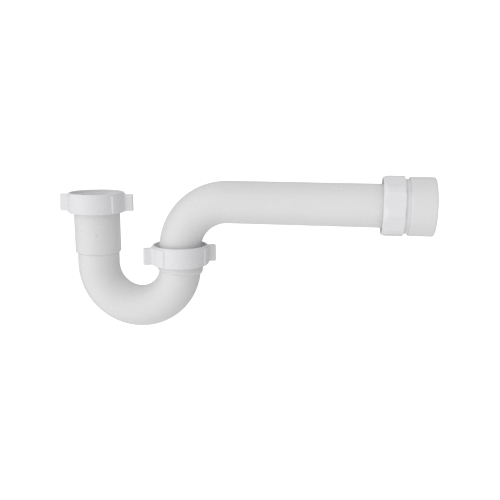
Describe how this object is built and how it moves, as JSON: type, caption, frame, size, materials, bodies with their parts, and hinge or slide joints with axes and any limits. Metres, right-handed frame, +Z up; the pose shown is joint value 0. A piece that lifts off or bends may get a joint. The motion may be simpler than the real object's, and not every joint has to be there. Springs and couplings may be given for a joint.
{
  "type": "p trap",
  "caption": "White plastic tubular sink P trap: J-bend with winged slip nuts, long trap arm and a wall adapter with a faceted slip nut and pipe socket.",
  "frame": {"origin": "on the inlet axis, where the straight wall of the inlet socket begins under its bevelled seat", "axes": "+Z up along the inlet, +X along the trap arm towards the wall outlet, +Y to the left of someone facing the wall"},
  "size_m": [0.3371, 0.0526, 0.1456],
  "materials": {
    "pipe_plastic": "white moulded tube, semi-gloss",
    "nut_plastic": "white moulded nut, semi-gloss",
    "washer_plastic": "milky soft plastic, satin"
  },
  "bodies": {
    "adapter": {"trap_adapter": "pipe_plastic"},
    "arm": {"trap_arm": "pipe_plastic"},
    "bend": {"j_bend": "pipe_plastic"},
    "wall_washer": {"wall_washer": "washer_plastic"},
    "wall_nut": {"wall_slip_nut": "nut_plastic"},
    "outlet_washer": {"outlet_washer": "washer_plastic"},
    "outlet_nut": {"outlet_slip_nut": "nut_plastic"},
    "inlet_washer": {"inlet_washer": "washer_plastic"},
    "inlet_nut": {"inlet_slip_nut": "nut_plastic"}
  },
  "joints": [
    {"name": "arm_slide", "type": "slide", "parent": "adapter", "child": "arm", "axis": [1, 0, 0], "range_m": [-0.01, 0.0035]},
    {"name": "bend_swivel", "type": "hinge", "parent": "arm", "child": "bend", "pos_m": [0.079, 0, -0.0439], "axis": [0, 0, 1], "range_deg": [-130, 130]},
    {"name": "inlet_washer_lift", "type": "slide", "parent": "bend", "child": "inlet_washer", "axis": [0, 0, 1], "range_m": [0, 0.00884]},
    {"name": "inlet_nut_turn", "type": "hinge", "parent": "inlet_washer", "child": "inlet_nut", "pos_m": [0, 0, 0.0026], "axis": [0, 0, 1], "range_deg": [0, 1440]},
    {"name": "outlet_washer_lift", "type": "slide", "parent": "bend", "child": "outlet_washer", "axis": [0, 0, 1], "range_m": [0, 0.00663]},
    {"name": "outlet_nut_turn", "type": "hinge", "parent": "outlet_washer", "child": "outlet_nut", "pos_m": [0.079, 0, -0.0439], "axis": [0, 0, 1], "range_deg": [0, 1080]},
    {"name": "wall_washer_lift", "type": "slide", "parent": "adapter", "child": "wall_washer", "axis": [-1, 0, 0], "range_m": [0, 0.00884]},
    {"name": "wall_nut_turn", "type": "hinge", "parent": "wall_washer", "child": "wall_nut", "pos_m": [0.2695, 0, 0.0064], "axis": [-1, 0, 0], "range_deg": [0, 1440]}
  ],
  "couplings": [
    {"joint": "inlet_washer_lift", "follows": "inlet_nut_turn", "m_per_rad": 0.00035157},
    {"joint": "outlet_washer_lift", "follows": "outlet_nut_turn", "m_per_rad": 0.00035157},
    {"joint": "wall_washer_lift", "follows": "wall_nut_turn", "m_per_rad": 0.00035157}
  ]
}
